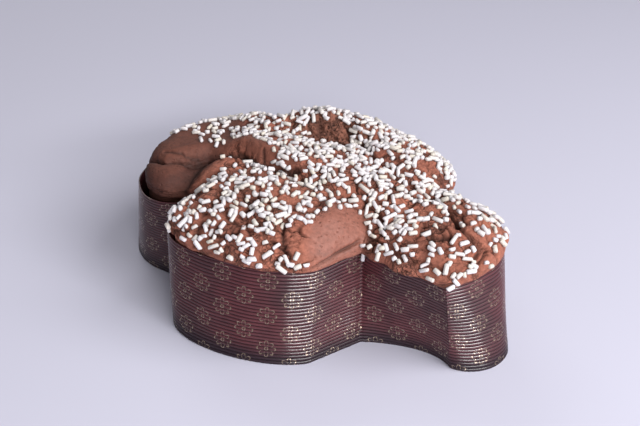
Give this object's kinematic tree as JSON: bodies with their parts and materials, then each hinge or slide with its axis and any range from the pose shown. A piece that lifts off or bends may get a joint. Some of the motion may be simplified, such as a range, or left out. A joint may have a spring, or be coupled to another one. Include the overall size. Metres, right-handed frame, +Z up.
{
  "type": "colomba cake",
  "caption": "Dove-shaped sweet bread with a domed, folded crust strewn with sugar nibs, in its own ribbed paper baking case.",
  "frame": {"origin": "on the underside of the paper case, in the middle of its length and of its wing span", "axes": "+X from the tail to the head, +Y to the far wing, +Z up"},
  "size_m": [0.3, 0.2004, 0.1074],
  "materials": {
    "paper": "dark maroon-brown corrugated baking paper, satin, with a fine gold flower print",
    "crust": "cocoa-brown baked crust, matt with a slight sheen on its smooth bulges",
    "sugar": "white pressed sugar, matt"
  },
  "bodies": {
    "root": {"paper_case": "paper", "cake": "crust"}
  },
  "joints": []
}
